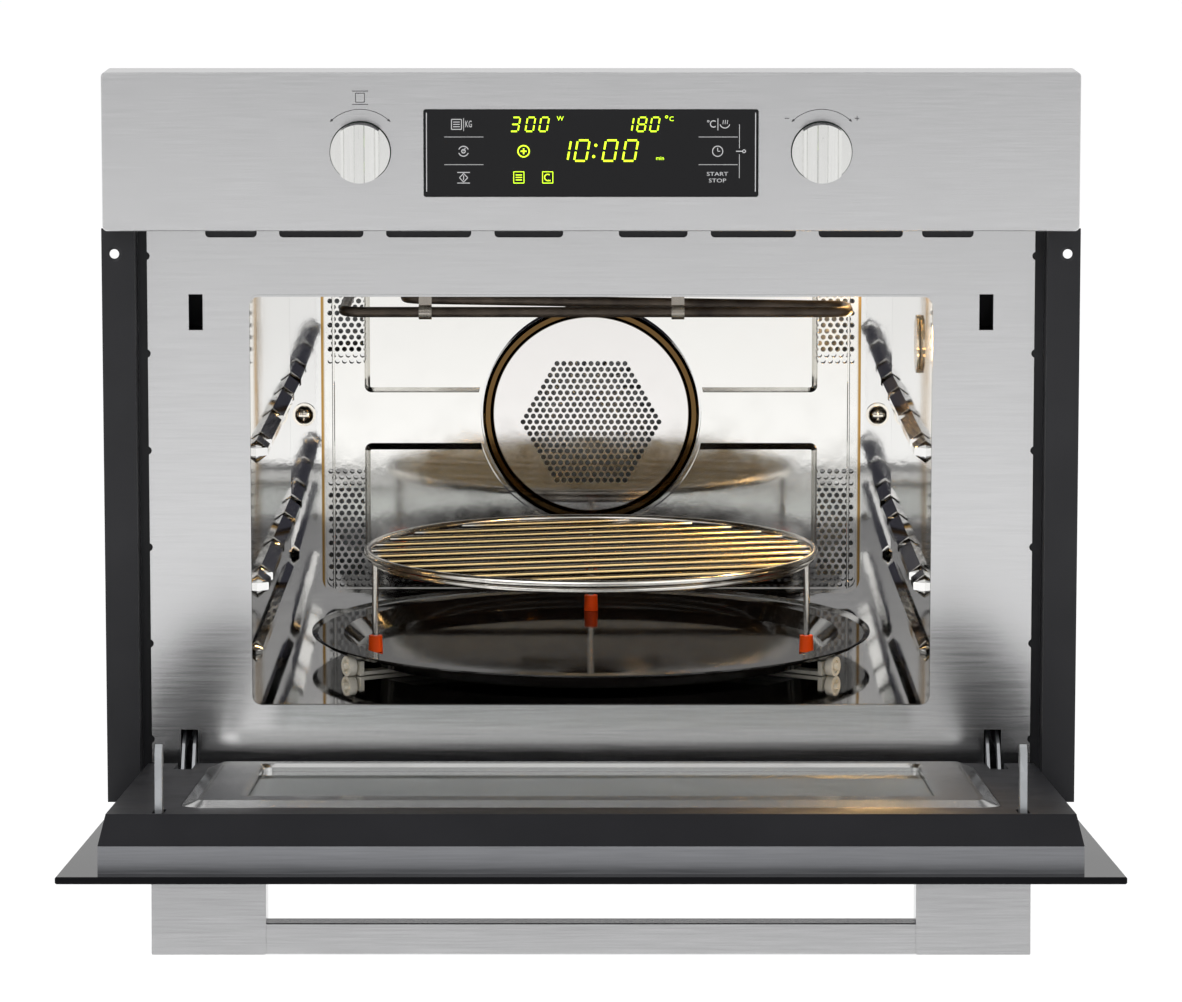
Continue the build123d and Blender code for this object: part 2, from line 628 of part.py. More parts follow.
def lamp():
    x = CAVITY_HALF
    lens = rod("x", 18.4, (x - 3.2, LAMP_Y, LAMP_Z), 2.6) - rod("x", 16, (x - 1.9, LAMP_Y, LAMP_Z), 5)
    save("lamp_lens", lens)
    holder = rod("x", 22, (x + 2, LAMP_Y, LAMP_Z), 30) - rod("x", 20.5, (x + 1, LAMP_Y, LAMP_Z), 29.5)
    save("oven_lamp", holder + rod("x", 6, (x + 6, LAMP_Y, LAMP_Z), 25))


def latch_box():
    """Switch carrier behind the face plate with a roof that the hook catches."""
    y0 = FACE_FRONT + 3.6
    outer = box((HOOK_X - 12, HOOK_X + 12), (y0, y0 + 48), (286, 326))
    inner = box((HOOK_X - 6, HOOK_X + 6), (y0 - 1, y0 + 44), (292, 320.5))
    return outer - inner


def hinge_cassette():
    y0 = FACE_FRONT + 3.6
    outer = box((HINGE_X - 8, HINGE_X + 8), (y0, y0 + 95), (22, 64))
    inner = box((HINGE_X - 6.5, HINGE_X + 6.5), (y0 - 1, y0 + 93), (20, 62.5))
    return outer - inner


def hinge_arm():
    """Two steel strips that come out of the slot, joined by the riveted hinge pin."""
    y0, z0 = PIVOT_Y, PIVOT_Z
    outline = [(y0 - 4.5, z0 + 1.5), (y0 - 1, z0 + 5.5), (FACE_FRONT - 4, 38), (FACE_FRONT + 8, 43.5),
               (FACE_FRONT + 70, 43.5), (FACE_FRONT + 70, 34), (FACE_FRONT + 10, 34), (FACE_FRONT + 1, 29),
               (y0 + 5, z0 - 1.5), (y0 + 2, z0 - 4.0), (y0 - 2.5, z0 - 4.0)]
    arm = rod("x", PIN_R, (HINGE_X - 12, y0, z0), 24)
    for a in (-4.2, 2.4):
        arm += profile_x(outline, HINGE_X + a, HINGE_X + a + 1.8)
    return arm


# ---- door, modelled closed ----
def hinge_notch(y0, y1):
    """Room for the hinge arm over the whole swing."""
    return box((HINGE_X - 5.6, HINGE_X + 5.6), (y0, y1), (GLASS_BOTTOM - 2, 52.0))


def pin_hole(shape):
    for x in (-HINGE_X - 13, HINGE_X - 13):
        shape -= rod("x", PIN_R + 0.05, (x, PIVOT_Y, PIVOT_Z), 26)
    return shape


def door_glass():
    body = plate_xz(WIDTH, GLASS_BOTTOM, GLASS_TOP, GLASS_BACK - GLASS, GLASS, 1.5)
    faces = body.faces().sort_by(Axis.Y)
    return chamfer(faces[0].edges() + faces[-1].edges(), 0.7)


FRAME_HALF = 275.0
FRAME_BACK = FLANGE - 0.6


def door_frame():
    body = box((-FRAME_HALF, FRAME_HALF), (GLASS_BACK, FRAME_BACK), (GLASS_BOTTOM, LINER_TOP))
    body -= box((-FRAME_HALF + 17, FRAME_HALF - 17), (GLASS_BACK - 1, FRAME_BACK + 1), (24, LINER_TOP - 18))
    notch = hinge_notch(FLANGE - 9, FLANGE + 1)
    return pin_hole(body - notch - mirrored(notch))


def door_liner():
    y0 = FRAME_BACK + 0.2
    side = [(y0, GLASS_BOTTOM), (y0, LINER_TOP), (LINER_BACK, LINER_FLAT_TOP), (LINER_BACK, GLASS_BOTTOM + 6)]
    body = profile_x(side, -FRAME_HALF, FRAME_HALF)
    for x_side in (-1, 1):
        wedge = Face(Wire.make_polygon([
            Vector(x_side * FRAME_HALF, y0 + 0.01, 0), Vector(x_side * (FRAME_HALF + 5), y0, 0),
            Vector(x_side * (FRAME_HALF + 5), LINER_BACK + 1, 0),
            Vector(x_side * (FRAME_HALF - 3), LINER_BACK + 1, 0),
        ], close=True))
        body -= extrude(wedge, 400, dir=(0, 0, 1))
    body -= plate_xz(2 * PLATE_HALF + 0.6, PLATE_Z[0] - 0.3, PLATE_Z[1] + 0.3, y0 - 1, 30, 14)
    notch = hinge_notch(y0 - 1, LINER_BACK + 1)
    body = body - notch - mirrored(notch)
    slot = box((HOOK_X - 3.4, HOOK_X + 3.4), (y0 - 1, LINER_BACK + 1), (HOOK_Z - 11, HOOK_Z + 11))
    body = body - slot - mirrored(slot)
    return pin_hole(body)


def plate_groove(width, low, high, corner):
    """Shallow groove around the inner plate, in from its bevel."""
    outer = plate_xz(width, low, high, LINER_BACK + 2.0, 3, corner)
    return outer - plate_xz(width - 2.4, low + 1.2, high - 1.2, LINER_BACK + 1, 5, corner - 1.2)


def on_window_edge(point):
    """Whether a point lies on the raised edge of the window opening."""
    level = abs(point.Y - (LINER_BACK + PLATE_RISE)) < 0.01
    return level and abs(point.X) < WINDOW_HALF + 1 and WINDOW_Z[0] - 1 < point.Z < WINDOW_Z[1] + 1


PLATE_RISE = 3.4


def door_inner_plate():
    """Stainless plate, raised with a broad bevel, and a sunk frame around the window."""
    y0 = LINER_BACK - 5.0
    base = plate_xz(2 * PLATE_HALF, *PLATE_Z, y0, 5.0, 14)
    crown = Pos(0, LINER_BACK, sum(PLATE_Z) / 2) * Rot(-90, 0, 0) * extrude(
        RectangleRounded(2 * PLATE_HALF - 1, PLATE_Z[1] - PLATE_Z[0] - 1, 13.5), PLATE_RISE, taper=68)
    body = base + crown
    window = plate_xz(2 * WINDOW_HALF, *WINDOW_Z, y0 - 1, 20, 7)
    body -= window
    mouth_edges = [edge for edge in body.edges() if on_window_edge(edge.center())]
    body = chamfer(mouth_edges, 2.2)
    return body - plate_groove(2 * PLATE_HALF - 20, PLATE_Z[0] + 10, PLATE_Z[1] - 10, 9.0)


def door_parts():
    save("door_glass", opened(door_glass()))
    save("door_frame", opened(door_frame()))
    save("door_liner", opened(door_liner()))
    save("door_inner_plate", opened(door_inner_plate()))
    glass = plate_xz(2 * WINDOW_HALF - 0.6, WINDOW_Z[0] + 0.3, WINDOW_Z[1] - 0.3, LINER_BACK - 4.4, 3.2, 6.7)
    save("window_glass", opened(glass))
    screen = plate_xz(2 * PLATE_HALF - 2, PLATE_Z[0] + 1, PLATE_Z[1] - 1, LINER_BACK - 6.4, 1.0, 12)
    save("window_screen", opened(screen))
    handle()


HANDLE_HALF = 245.5
POST = 64.0
GRIP = 17.6
REACH = 42.0
HANDLE_Z = (308.0, 332.0)


def handle():
    """Two end blocks and a flat bar between them, standing out from the glass."""
    y0 = GLASS_BACK - GLASS
    post = box((HANDLE_HALF - POST, HANDLE_HALF), (y0 - REACH, y0), HANDLE_Z)
    post = chamfer(post.edges().filter_by(Axis.Z), 0.5)
    half = HANDLE_HALF - POST - 0.1
    bar = box((-half, half), (y0 - REACH, y0 - REACH + GRIP), HANDLE_Z)
    bar = chamfer(bar.edges().filter_by(Axis.X), 0.6)
    save("handle_end_right", opened(post))
    save("handle_end_left", opened(mirrored(post)))
    save("handle_bar", opened(bar))


HOOK_REACH = 38.0


def latch_hook():
    """Sprung hook that stands out of the liner; it turns on a pin inside the door."""
    y0, y1 = FRAME_BACK + 1.2, LINER_BACK + HOOK_REACH
    z = HOOK_Z
    outline = [(y0, z - 8), (y0, z + 6), (y1 - 14, z + 6.5), (y1 - 5, z + 6.5), (y1, z + 1), (y1 - 1, z - 3),
               (y1 - 12, z - 7), (y1 - 14, z - 2.5), (LINER_BACK + 3, z - 3), (LINER_BACK - 2, z - 8)]
    return profile_x(outline, HOOK_X - 2.0, HOOK_X + 2.0)


def case_screws():
    """Tapered screw heads on the casing's back and sides."""
    head = Cone(4, 2.6, 2, align=(Align.CENTER, Align.CENTER, Align.MIN))
    heads = []
    for x in (-262, 262):
        for z in (40, 215, 390):
            heads.append(Pos(x, REAR, z) * Rot(-90, 0, 0) * head)
    for side in (-1, 1):
        for y in (-150, 0, 150):
            heads.append(Pos(side * (CASING_HALF + SHEET), y, 402) * Rot(0, side * 90, 0) * head)
    return heads


def main():
    os.makedirs("parts", exist_ok=True)
    save("control_panel", fascia())
    display_parts()
    save("left_knob", knob(-KNOB_X))
    save("right_knob", knob(KNOB_X))
    save("right_side_trim", flange())
    save("left_side_trim", mirrored(flange()))
    save("face_plate", face_plate())
    save("chassis_plate", chassis_plate())
    cavity()
    save("cavity_rear_wall", rear_wall())
    save("rear_panel", rear_panel())
    save("fan_cover", fan_cover())
    save("rear_studs", [rear_stud(-196.8), rear_stud(196.8)])
    save("grill_element", grill_element())
    save("grill_brackets", grill_brackets())
    save("turntable_plate", turntable_plate())
    save("drive_hub", drive_hub())
    save("roller_support", roller_support())
    for i, angle in enumerate(ROLLER_ANGLES):
        save(f"roller_{i + 1}", roller(angle))
    save("wire_rack", wire_rack())
    save("rack_feet", rack_feet())
    save("fan_wheel", fan_wheel())
    save("fan_housing", fan_housing())
    save("ring_heater", ring_heater())
    save("fan_motor", fan_motor())
    casing()
    microwave_source()
    blower()
    power_supply()
    save("turntable_motor", turntable_motor())
    lamp()
    save("latch_boxes", pair(latch_box()))
    save("hinge_cassettes", pair(hinge_cassette()))
    save("hinge_arms", pair(hinge_arm()))
    door_parts()
    save("latch_hooks", [opened(hook) for hook in pair(latch_hook())])
    save("case_screws", case_screws())


main()
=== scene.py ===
import json
import math

import bmesh
import bpy
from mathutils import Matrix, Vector


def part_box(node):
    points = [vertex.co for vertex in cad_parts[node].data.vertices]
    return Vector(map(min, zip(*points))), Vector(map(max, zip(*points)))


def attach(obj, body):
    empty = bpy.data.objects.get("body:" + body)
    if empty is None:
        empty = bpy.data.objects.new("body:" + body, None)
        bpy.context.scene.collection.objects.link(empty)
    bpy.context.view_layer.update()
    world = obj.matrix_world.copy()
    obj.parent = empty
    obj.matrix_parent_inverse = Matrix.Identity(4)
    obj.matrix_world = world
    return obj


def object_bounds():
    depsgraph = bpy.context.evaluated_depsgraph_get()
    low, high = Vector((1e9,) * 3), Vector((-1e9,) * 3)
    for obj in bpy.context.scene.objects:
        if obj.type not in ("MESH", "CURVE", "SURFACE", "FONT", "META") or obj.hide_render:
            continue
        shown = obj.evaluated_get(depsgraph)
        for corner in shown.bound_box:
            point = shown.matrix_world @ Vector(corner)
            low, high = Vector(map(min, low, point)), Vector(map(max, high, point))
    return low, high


# A built-in compact oven with its door open, in metres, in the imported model's frame.

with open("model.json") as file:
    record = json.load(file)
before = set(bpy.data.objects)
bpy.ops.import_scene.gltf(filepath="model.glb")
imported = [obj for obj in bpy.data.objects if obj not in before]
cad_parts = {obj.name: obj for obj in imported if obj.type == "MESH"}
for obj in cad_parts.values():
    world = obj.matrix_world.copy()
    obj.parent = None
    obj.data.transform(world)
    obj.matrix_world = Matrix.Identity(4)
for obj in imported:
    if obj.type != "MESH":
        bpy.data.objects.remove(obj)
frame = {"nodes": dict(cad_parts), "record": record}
CAD_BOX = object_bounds()
MM = 0.001


# ---- named colours ----
STEEL = (0.70, 0.70, 0.705)
POLISHED = (0.8, 0.79, 0.77)
# painted shade: the dark golden brown given to the fan cover's bevel ring
BEVEL_SHADE_BROWN = (0.13, 0.075, 0.028)
STRAW = (0.42, 0.25, 0.07)
RACK_GOLD = (0.93, 0.70, 0.36)
RACK_BRIGHT = (0.80, 0.77, 0.72)
WHITE = (1, 1, 1)


# ---- node material helpers ----
class Mat:
    """A node material with a Principled shader and short calls for what feeds it."""

    def __init__(self, name, color, metallic=0.0, rough=0.5, **sockets):
        self.mat = bpy.data.materials.new(name)
        self.mat.use_nodes = True
        self.tree = self.mat.node_tree
        self.shader = self.tree.nodes["Principled BSDF"]
        self.set("Base Color", (*color, 1.0))
        self.set("Metallic", metallic)
        self.set("Roughness", rough)
        for key, value in sockets.items():
            self.set(key.replace("_", " "), value)
        self.coords = self.node("ShaderNodeTexCoord").outputs["Object"]
        self.height = None

    def set(self, socket, value):
        """Puts a constant on one of the shader's own sockets."""
        self.shader.inputs[socket].default_value = value

    def node(self, kind, **props):
        made = self.tree.nodes.new(kind)
        for key, value in props.items():
            setattr(made, key, value)
        return made

    def link(self, a, b):
        self.tree.links.new(a, b)
        return self

    def stretched(self, scale):
        """Object coordinates scaled apart along each axis."""
        mapping = self.node("ShaderNodeMapping")
        mapping.inputs["Scale"].default_value = scale
        self.link(self.coords, mapping.inputs["Vector"])
        return mapping.outputs["Vector"]

    def noise(self, scale, detail=3.0, stretch=(1, 1, 1), distortion=0.0):
        """Noise from 0 to 1; scale is the number of blots in a metre."""
        tex = self.node("ShaderNodeTexNoise")
        tex.inputs["Scale"].default_value = scale
        tex.inputs["Detail"].default_value = detail
        tex.inputs["Distortion"].default_value = distortion
        self.link(self.stretched(stretch), tex.inputs["Vector"])
        return tex.outputs["Fac"]

    def span(self, value, low, high, at=(0.3, 0.7)):
        """Maps a 0..1 value onto low..high."""
        ramp = self.node("ShaderNodeMapRange")
        ramp.inputs["From Min"].default_value = at[0]
        ramp.inputs["From Max"].default_value = at[1]
        ramp.inputs["To Min"].default_value = low
        ramp.inputs["To Max"].default_value = high
        self.link(value, ramp.inputs["Value"])
        return ramp.outputs["Result"]

    def rough(self, value, low, high, at=(0.3, 0.7)):
        """Roughness runs from low to high with the value."""
        return self.link(self.span(value, low, high, at), self.shader.inputs["Roughness"])

    def tint(self, value, first, second, at=(0.3, 0.7)):
        """Colour runs from first to second with the value."""
        ramp = self.node("ShaderNodeValToRGB")
        ramp.color_ramp.elements[0].position = at[0]
        ramp.color_ramp.elements[1].position = at[1]
        ramp.color_ramp.elements[0].color = (*first, 1)
        ramp.color_ramp.elements[1].color = (*second, 1)
        self.link(value, ramp.inputs["Fac"])
        return self.link(ramp.outputs["Color"], self.shader.inputs["Base Color"])

    def calc(self, kind, *values):
        """One arithmetic node over numbers or other outputs."""
        made = self.node("ShaderNodeMath", operation=kind)
        for socket, value in zip(made.inputs, values):
            if isinstance(value, (int, float)):
                socket.default_value = value
            else:
                self.link(value, socket)
        return made.outputs[0]

    def axis(self, name):
        """One object coordinate, X, Y or Z."""
        split = self.node("ShaderNodeSeparateXYZ")
        self.link(self.coords, split.inputs["Vector"])
        return split.outputs[name]

    def distance(self, centre, axes):
        """Distance from a line that is square to the two axes, in object space."""
        sides = [self.calc("SUBTRACT", self.axis(name), at) for name, at in zip(axes, centre)]
        squares = [self.calc("MULTIPLY", side, side) for side in sides]
        return self.calc("SQRT", self.calc("ADD", *squares))

    def bump(self, value, strength, distance):
        """Adds relief on top of the bumps already made."""
        made = self.node("ShaderNodeBump")
        made.inputs["Strength"].default_value = strength
        made.inputs["Distance"].default_value = distance
        self.link(value, made.inputs["Height"])
        if self.height:
            self.link(self.height, made.inputs["Normal"])
        self.height = made.outputs["Normal"]
        return self.link(self.height, self.shader.inputs["Normal"])


# Scratches in a metre, along and across the grain of ground steel.
GRAIN_LONG = 26
GRAIN_FINE = 1000
GRAIN = {
    "x": (GRAIN_LONG, GRAIN_FINE, GRAIN_FINE),
    "z": (GRAIN_FINE, GRAIN_FINE, GRAIN_LONG),
}
GROOVE_SHADE = 0.84


def brushed(name, color, rough, along="x", strength=0.12):
    """Ground stainless steel: long fine scratches along one axis."""
    made = Mat(name, color, metallic=1.0)
    grain = made.noise(1.0, 5.0, GRAIN[along])
    made.rough(grain, *rough, at=(0.25, 0.75))
    groove = tuple(c * GROOVE_SHADE for c in color)
    made.tint(grain, groove, color, at=(0.25, 0.7))
    return made.bump(grain, strength, 0.0001).mat


def door_plate_steel():
    """Polished plate with wiped streaks and a very slight ripple."""
    made = Mat("door_plate_steel", (0.74, 0.74, 0.73), metallic=1.0)
    made.rough(made.noise(9.0, 4.0, distortion=0.6), 0.14, 0.22)
    made.bump(made.noise(7.0, 1.0), 0.03, 0.004)
    return made.bump(made.noise(160.0, 2.0), 0.03, 0.0004).mat


def cavity_steel():
    """Polished steel sheet of the cavity walls."""
    made = Mat("cavity_steel", POLISHED, metallic=1.0)
    made.rough(made.noise(9.0, 4.0, distortion=0.6), 0.03, 0.07)
    made.tint(made.noise(3.0, 2.0), (0.77, 0.765, 0.75), (0.83, 0.825, 0.81))
    made.bump(made.noise(7.0, 1.0), 0.06, 0.004)
    return made.bump(made.noise(160.0, 2.0), 0.03, 0.0004).mat


def fan_steel(centre, inner, outer):
    """Steel disc with a rim painted dark golden brown, as painted shade of the bevel between the panel
    and the cover.
    """
    made = Mat("fan_cover_steel", POLISHED, metallic=1.0)
    rim = made.span(made.distance(centre, "XZ"), 0.0, 1.0, at=(inner, outer))
    # painted shade: the rim over the bevel between panel and cover is coloured dark golden brown
    made.tint(rim, (0.80, 0.78, 0.76), BEVEL_SHADE_BROWN, at=(0.0, 1.0))
    made.rough(made.noise(60.0, 3.0), 0.05, 0.11)
    return made.bump(made.noise(200.0, 2.0), 0.03, 0.0003).mat


def panel_steel(edge, width):
    """Rear panel steel with straw-coloured bands at its left and right edges."""
    made = Mat("rear_panel_steel", POLISHED, metallic=1.0)
    side = made.calc("ABSOLUTE", made.axis("X"))
    band = made.span(side, 0.0, 1.0, at=(edge - width, edge))
    made.tint(band, (0.84, 0.83, 0.80), STRAW, at=(0.0, 1.0))
    made.rough(made.noise(60.0, 3.0), 0.05, 0.11)
    made.bump(made.noise(9.0, 1.0), 0.03, 0.003)
    return made.bump(made.noise(200.0, 2.0), 0.04, 0.0003).mat


def rack_chrome(centre, inner, outer):
    """Chromed wire: the bars inside the rim look golden, the rim and legs bright."""
    made = Mat("rack_chrome", (0.86, 0.82, 0.74), metallic=1.0)
    rim = made.span(made.distance(centre, "XY"), 0.0, 1.0, at=(inner, outer))
    made.tint(rim, RACK_GOLD, RACK_BRIGHT, at=(0.0, 1.0))
    made.rough(made.noise(60.0, 4.0), 0.12, 0.22)
    return made.bump(made.noise(220.0, 2.0), 0.06, 0.0002).mat


def painted(name, color, rough=(0.3, 0.42), **sockets):
    """Painted or moulded surface with a fine orange-peel texture."""
    made = Mat(name, color, **sockets)
    made.rough(made.noise(30.0, 4.0), *rough)
    lighter = tuple(min(1.0, c * 1.25 + 0.002) for c in color)
    made.tint(made.noise(14.0, 4.0), color, lighter)
    return made.bump(made.noise(1400.0, 2.0), 0.08, 0.0002).mat


def perforated(color, pitch, hole):
    """Sheet with staggered round holes, drawn in the plane of the open door."""
    made = Mat("window_screen", color, metallic=0.35, rough=0.5)
    rows = pitch * math.sqrt(3)

    def cell(shift):
        """Distance to the middle of the nearest cell of a grid moved by part of a cell."""
        sides = []
        for axis, step in (("X", pitch), ("Y", rows)):
            place = made.calc("ADD", made.calc("DIVIDE", made.axis(axis), step), 100.0 + shift)
            across = made.calc("FRACT", place)
            sides.append(made.calc("MULTIPLY", made.calc("SUBTRACT", across, 0.5), step))
        squares = [made.calc("MULTIPLY", side, side) for side in sides]
        return made.calc("SQRT", made.calc("ADD", *squares))

    nearest = made.calc("MINIMUM", cell(0.0), cell(0.5))
    edge = made.span(nearest, 0.0, 1.0, at=(hole * 0.85, hole * 1.1))
    made.tint(edge, (0.004, 0.004, 0.004), color, at=(0.0, 1.0))
    return made.bump(edge, 0.3, 0.0003).mat


def display_lit(color, power):
    """Lit display segments."""
    made = Mat("display_lit", color, rough=0.4)
    made.set("Emission Color", (*color, 1))
    made.set("Emission Strength", power)
    return made.bump(made.noise(900.0), 0.02, 0.0001).mat


def enamel():
    """Black glossy enamel with faint brown clouds."""
    made = Mat("black_enamel", (0.006, 0.005, 0.005), rough=0.09, Specular_IOR_Level=0.5)
    made.rough(made.noise(12.0, 4.0, distortion=0.4), 0.03, 0.08)
    made.tint(made.noise(26.0, 5.0), (0.005, 0.0045, 0.004), (0.013, 0.011, 0.010))
    made.bump(made.noise(6.0, 1.0), 0.05, 0.003)
    return made.bump(made.noise(500.0, 2.0), 0.05, 0.0002).mat


def black_glass(name, tone, gloss, ior=1.5):
    """Opaque dark glass; a low gloss keeps bright rooms out of it."""
    made = Mat(name, tone, rough=0.05, Specular_IOR_Level=gloss, IOR=ior)
    made.rough(made.noise(18.0, 5.0), 0.03, 0.09)
    return made.bump(made.noise(8.0, 1.0), 0.02, 0.002).mat


def clear_glass(name, tint, rough=0.02):
    """Tinted see-through glass."""
    made = Mat(name, tint, rough=rough, IOR=1.5)
    made.set("Transmission Weight", 1.0)
    made.rough(made.noise(20.0, 4.0), rough, rough + 0.04)
    return made.bump(made.noise(5.0, 1.0), 0.02, 0.001).mat


def chrome(name, color, rough=(0.06, 0.16)):
    """Plated metal with a faint uneven gloss."""
    made = Mat(name, color, metallic=1.0)
    made.rough(made.noise(60.0, 4.0), *rough)
    return made.bump(made.noise(220.0, 2.0), 0.08, 0.0002).mat


def galvanised():
    """Zinc-coated sheet with pale crystal spangles."""
    made = Mat("galvanised", (0.62, 0.64, 0.65), metallic=1.0)
    cells = made.node("ShaderNodeTexVoronoi")
    cells.inputs["Scale"].default_value = 95.0
    made.link(made.coords, cells.inputs["Vector"])
    made.tint(cells.outputs["Color"], (0.43, 0.445, 0.46), (0.50, 0.515, 0.53), at=(0.1, 0.9))
    made.rough(made.noise(90.0, 3.0), 0.38, 0.5)
    return made.bump(made.noise(60.0, 3.0), 0.06, 0.0006).mat


def heater():
    """Dark sheath of a heating rod, mottled by heat."""
    made = Mat("heater_sheath", (0.07, 0.055, 0.045), metallic=0.8)
    made.tint(made.noise(40.0, 5.0), (0.035, 0.028, 0.024), (0.12, 0.095, 0.075))
    made.rough(made.noise(120.0, 3.0), 0.28, 0.5)
    return made.bump(made.noise(700.0, 3.0), 0.15, 0.0003).mat


# Finishes of the record's material slots.
FINISH = {
    "brushed_steel": brushed("brushed_steel_front", STEEL, (0.2, 0.27), strength=0.05),
    "knob_metal": brushed("knob_metal", (0.82, 0.82, 0.80), (0.09, 0.16), "z", 0.04),
    "display_glass": black_glass("display_glass", (0.006, 0.006, 0.007), 0.2),
    "board": painted("circuit_board", (0.03, 0.12, 0.05)),
    "black_metal": painted("black_metal", (0.016, 0.016, 0.018), (0.3, 0.42), Specular_IOR_Level=0.25),
    "cavity_steel": cavity_steel(),
    "chrome": chrome("chrome_wire", (0.86, 0.82, 0.74)),
    "element": heater(),
    "galvanised": galvanised(),
    "enamel": enamel(),
    "moulded_plastic": painted("moulded_plastic", (0.03, 0.03, 0.032), (0.4, 0.55)),
    "roller_plastic": painted("roller_plastic", (0.80, 0.77, 0.68), (0.3, 0.45)),
    "silicone": painted("silicone_foot", (0.80, 0.075, 0.003), (0.4, 0.55), Specular_IOR_Level=0.25),
    "motor_metal": painted("motor_metal", (0.30, 0.30, 0.31), (0.35, 0.5), metallic=0.7),
    "lamp_glass": clear_glass("lamp_glass", (1.0, 0.93, 0.8), 0.1),
    "door_glass": black_glass("door_glass", (0.008, 0.008, 0.009), 0.3, 1.1),
    "frame_metal": brushed("door_frame_metal", (0.29, 0.295, 0.31), (0.34, 0.46)),
    "black_liner": painted("black_liner", (0.010, 0.010, 0.012), (0.34, 0.44), Specular_IOR_Level=0.12),
    "window_glass": clear_glass("window_glass", (0.93, 0.96, 0.95)),
    "screen_metal": perforated((0.86, 0.87, 0.86), 2.6 * MM, 0.6 * MM),
}


def dress_nodes():
    """Gives every CAD node its own finish, or else that of its slot."""
    slots = {row["node"]: row["material_slot"] for row in frame["record"]["subparts"]}
    for node, obj in frame["nodes"].items():
        obj.data.materials.clear()
        obj.data.materials.append(SPECIAL.get(node, FINISH[slots[node]]))


def middle(node, axes):
    """Middle of a node's box along the named axes."""
    low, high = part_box(node)
    return tuple((low["XYZ".index(name)] + high["XYZ".index(name)]) / 2 for name in axes)


# Where the colour bands run, in metres: radii of the round rims, half widths of the rear panel. The fan
# cover's dark rim is painted shade of its bevel.
FAN_RIM = (0.0662, 0.0668)
RACK_RIM = (0.1365, 0.140)
PANEL_EDGE = 0.1834
PANEL_BAND = 0.0012

# Finishes of single nodes, which look different from the rest of their slot.
SPECIAL = {
    "door_inner_plate": door_plate_steel(),
    "face_plate": brushed("face_steel", (0.615, 0.615, 0.62), (0.15, 0.22), strength=0.04),
    "fan_cover": fan_steel(middle("fan_cover", "XZ"), *FAN_RIM),
    "grill_brackets": chrome("bracket_steel", (0.36, 0.33, 0.29), (0.2, 0.35)),
    "rear_panel": panel_steel(PANEL_EDGE, PANEL_BAND),
    "case_screws": chrome("screw_zinc", (0.30, 0.29, 0.26), (0.25, 0.4)),
    "wire_rack": rack_chrome(middle("wire_rack", "XY"), *RACK_RIM),
}


# ---- flat prints on the front, in millimetres from the middle of the display ----
DISPLAY_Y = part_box("display_window")[0][1]
PANEL_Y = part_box("control_panel")[0][1]
(DISPLAY_Z,) = middle("display_window", "Z")
PRINT_DEPTH = 0.05 * MM
CAP_HEIGHT = 0.7  # of the built-in font's size
TOP_ROW = 17.4
MIDDLE_ROW = 1.2
LOW_ROW = -14.8
SIGN_X = 76.6
KNOB_X = 139.0
KNOB_Z = 0.8
TURN_ARC = 25.6
TURN_HALF = 42  # degrees either side of straight up


class Print:
    """Thin raised marks, all in one mesh, on a front face at the given Y."""

    def __init__(self, name, y, material):
        self.mesh = bmesh.new()
        self.name = name
        self.y = y
        self.material = material

    def patch(self, points):
        """A flat polygon, one print thick."""
        front, back = (
            [self.mesh.verts.new((x * MM, self.y - depth, DISPLAY_Z + z * MM)) for x, z in points]
            for depth in (PRINT_DEPTH, 0.0)
        )
        self.mesh.faces.new(front)
        self.mesh.faces.new(back[::-1])
        for i in range(len(points)):
            j = (i + 1) % len(points)
            self.mesh.faces.new((front[j], front[i], back[i], back[j]))

    def line(self, start, end, width):
        """A straight stroke."""
        a, b = Vector(start), Vector(end)
        side = (b - a).normalized()
        side = Vector((-side.y, side.x)) * width / 2
        self.patch([a - side, b - side, b + side, a + side])

    def outline(self, points, width):
        """Straight strokes round a closed shape."""
        for a, b in zip(points, points[1:] + points[:1]):
            self.line(a, b, width)

    def box(self, centre, half, width):
        """The outline of a rectangle, from its half width and half height."""
        x, z = centre
        dx, dz = half
        self.outline([(x - dx, z - dz), (x + dx, z - dz), (x + dx, z + dz), (x - dx, z + dz)], width)

    def arc(self, centre, radius, start, end, width, steps=24):
        """A curved stroke between two angles in degrees."""
        near, far = radius - width / 2, radius + width / 2
        for i in range(steps):
            a, b = (math.radians(start + (end - start) * k / steps) for k in (i, i + 1))
            corners = ((a, near), (a, far), (b, far), (b, near))
            self.patch([(centre[0] + r * math.cos(t), centre[1] + r * math.sin(t)) for t, r in corners])

    def ring(self, centre, radius, width, steps=24):
        """A full circle drawn as a stroke."""
        self.arc(centre, radius, 0, 360, width, steps)

    def disc(self, centre, radius, steps=16):
        """A filled circle."""
        turns = [2 * math.pi * i / steps for i in range(steps)]
        self.patch([(centre[0] + radius * math.cos(t), centre[1] + radius * math.sin(t)) for t in turns])

    def words(self, text, centre, height, stretch=1.0):
        """Plain generic lettering from the built-in font."""
        curve = bpy.data.curves.new("lettering", "FONT")
        curve.body = text
        curve.size = height * MM / CAP_HEIGHT
        curve.resolution_u = 3
        curve.align_x = "CENTER"
        curve.align_y = "CENTER"
        holder = bpy.data.objects.new("lettering", curve)
        flat = bpy.data.meshes.new_from_object(holder)
        for face in flat.polygons:
            corners = [flat.vertices[i].co for i in face.vertices]
            self.patch([(centre[0] + c.x / MM * stretch, centre[1] + c.y / MM) for c in corners])
        bpy.data.objects.remove(holder)

    def done(self):
        """Turns the marks into an object that rides on the oven's body."""
        bmesh.ops.recalc_face_normals(self.mesh, faces=self.mesh.faces)
        data = bpy.data.meshes.new(self.name)
        self.mesh.to_mesh(data)
        self.mesh.free()
        data.materials.append(self.material)
        obj = bpy.data.objects.new(self.name, data)
        bpy.context.scene.collection.objects.link(obj)
        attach(obj, "body")


SEGMENTS = {"0": "abcdef", "1": "bc", "3": "abgcd", "8": "abcdefg"}
SLANT = 0.18


